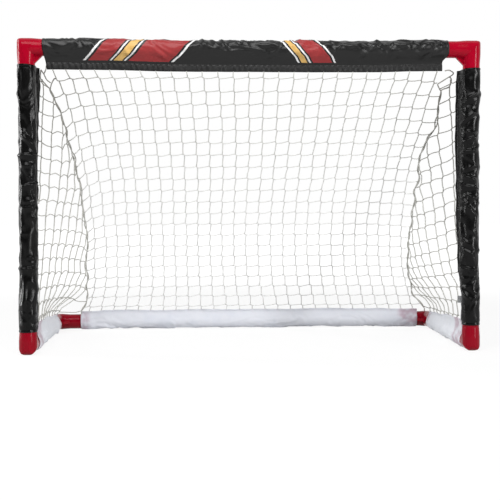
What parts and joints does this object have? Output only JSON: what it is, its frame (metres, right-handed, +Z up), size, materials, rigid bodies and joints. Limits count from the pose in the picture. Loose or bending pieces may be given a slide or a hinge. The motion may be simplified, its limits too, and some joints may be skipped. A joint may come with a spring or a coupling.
{
  "type": "hockey goal net",
  "caption": "Small free-standing hockey goal: push-together tube frame with corner elbows, cloth sleeves on the tubes and a sloping knotted net.",
  "frame": {"origin": "On the floor under the middle of the goal's outline", "axes": "+X to the right seen from the open front, +Y towards the rear bar, +Z up"},
  "size_m": [0.711, 0.31, 0.481],
  "materials": {
    "red_plastic": "semi-gloss moulded plastic",
    "tube_plastic": "extruded pipe, satin",
    "black_cloth": "satin woven nylon",
    "white_cloth": "thin woven nylon",
    "twine": "braided twine, matt",
    "tab_tape": "woven tape, matt"
  },
  "bodies": {
    "root": {"elbow_top_left": "red_plastic", "elbow_top_right": "red_plastic", "elbow_foot_left": "red_plastic", "elbow_foot_right": "red_plastic", "elbow_rear_left": "red_plastic", "elbow_rear_right": "red_plastic", "crossbar_tube": "tube_plastic", "post_tube_left": "tube_plastic", "post_tube_right": "tube_plastic", "side_tube_left": "tube_plastic", "side_tube_right": "tube_plastic", "rear_tube": "tube_plastic", "crossbar_sleeve": "black_cloth", "post_sleeve_left": "black_cloth", "post_sleeve_right": "black_cloth", "side_sleeve_left": "white_cloth", "side_sleeve_right": "white_cloth", "rear_sleeve": "white_cloth", "net_back": "twine", "net_left": "twine", "net_right": "twine", "seam_cord_left": "twine", "seam_cord_right": "twine", "sewn_tab": "tab_tape"}
  },
  "joints": []
}
